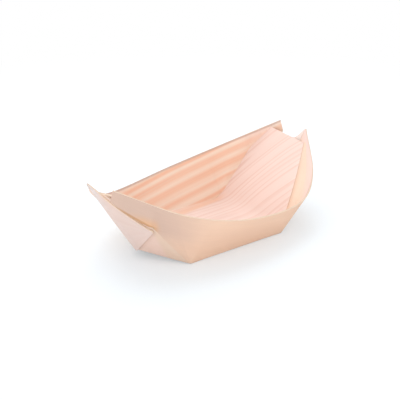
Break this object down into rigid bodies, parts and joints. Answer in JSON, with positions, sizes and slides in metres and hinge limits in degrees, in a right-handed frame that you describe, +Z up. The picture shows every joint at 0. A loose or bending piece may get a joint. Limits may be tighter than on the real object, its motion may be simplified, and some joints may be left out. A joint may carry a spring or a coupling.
{
  "type": "veneer boat dish",
  "caption": "Boat-shaped serving dish folded from one thin scored sheet of pine veneer, with raised ends held by hinged lock flaps.",
  "frame": {"origin": "under the middle of the flat floor, on the surface the dish stands on", "axes": "+X along the boat, +Y across it towards the far wall of the picture, +Z up"},
  "size_m": [0.1408, 0.0832, 0.0463],
  "materials": {
    "floor_veneer": "bare sawn pine veneer, pale, with faint pink grain",
    "wall_veneer": "bare sawn pine veneer, tan, with broad orange grain",
    "flap_veneer": "bare sawn pine veneer, pale grey pink"
  },
  "bodies": {
    "boat": {"floor_panel": "floor_veneer", "side_wall_near": "wall_veneer", "side_wall_far": "wall_veneer", "end_ramp_right": "floor_veneer", "end_ramp_left": "floor_veneer", "ridge_gusset_right": "wall_veneer", "ridge_gusset_left": "wall_veneer", "flap_lining_right": "wall_veneer", "flap_lining_left": "wall_veneer"},
    "flap_right": {"lock_flap_right": "flap_veneer"},
    "flap_left": {"lock_flap_left": "flap_veneer"}
  },
  "joints": [
    {"name": "flap_right_hinge", "type": "hinge", "parent": "boat", "child": "flap_right", "pos_m": [0.04916, 0.00624, 0.00404], "axis": [-0.4573, 0.1307, -0.8797], "range_deg": [0, 30], "stiffness_Nm_per_rad": 0.002},
    {"name": "flap_left_hinge", "type": "hinge", "parent": "boat", "child": "flap_left", "pos_m": [-0.04916, -0.00624, 0.00404], "axis": [0.4573, -0.1307, -0.8797], "range_deg": [0, 30], "stiffness_Nm_per_rad": 0.002}
  ]
}
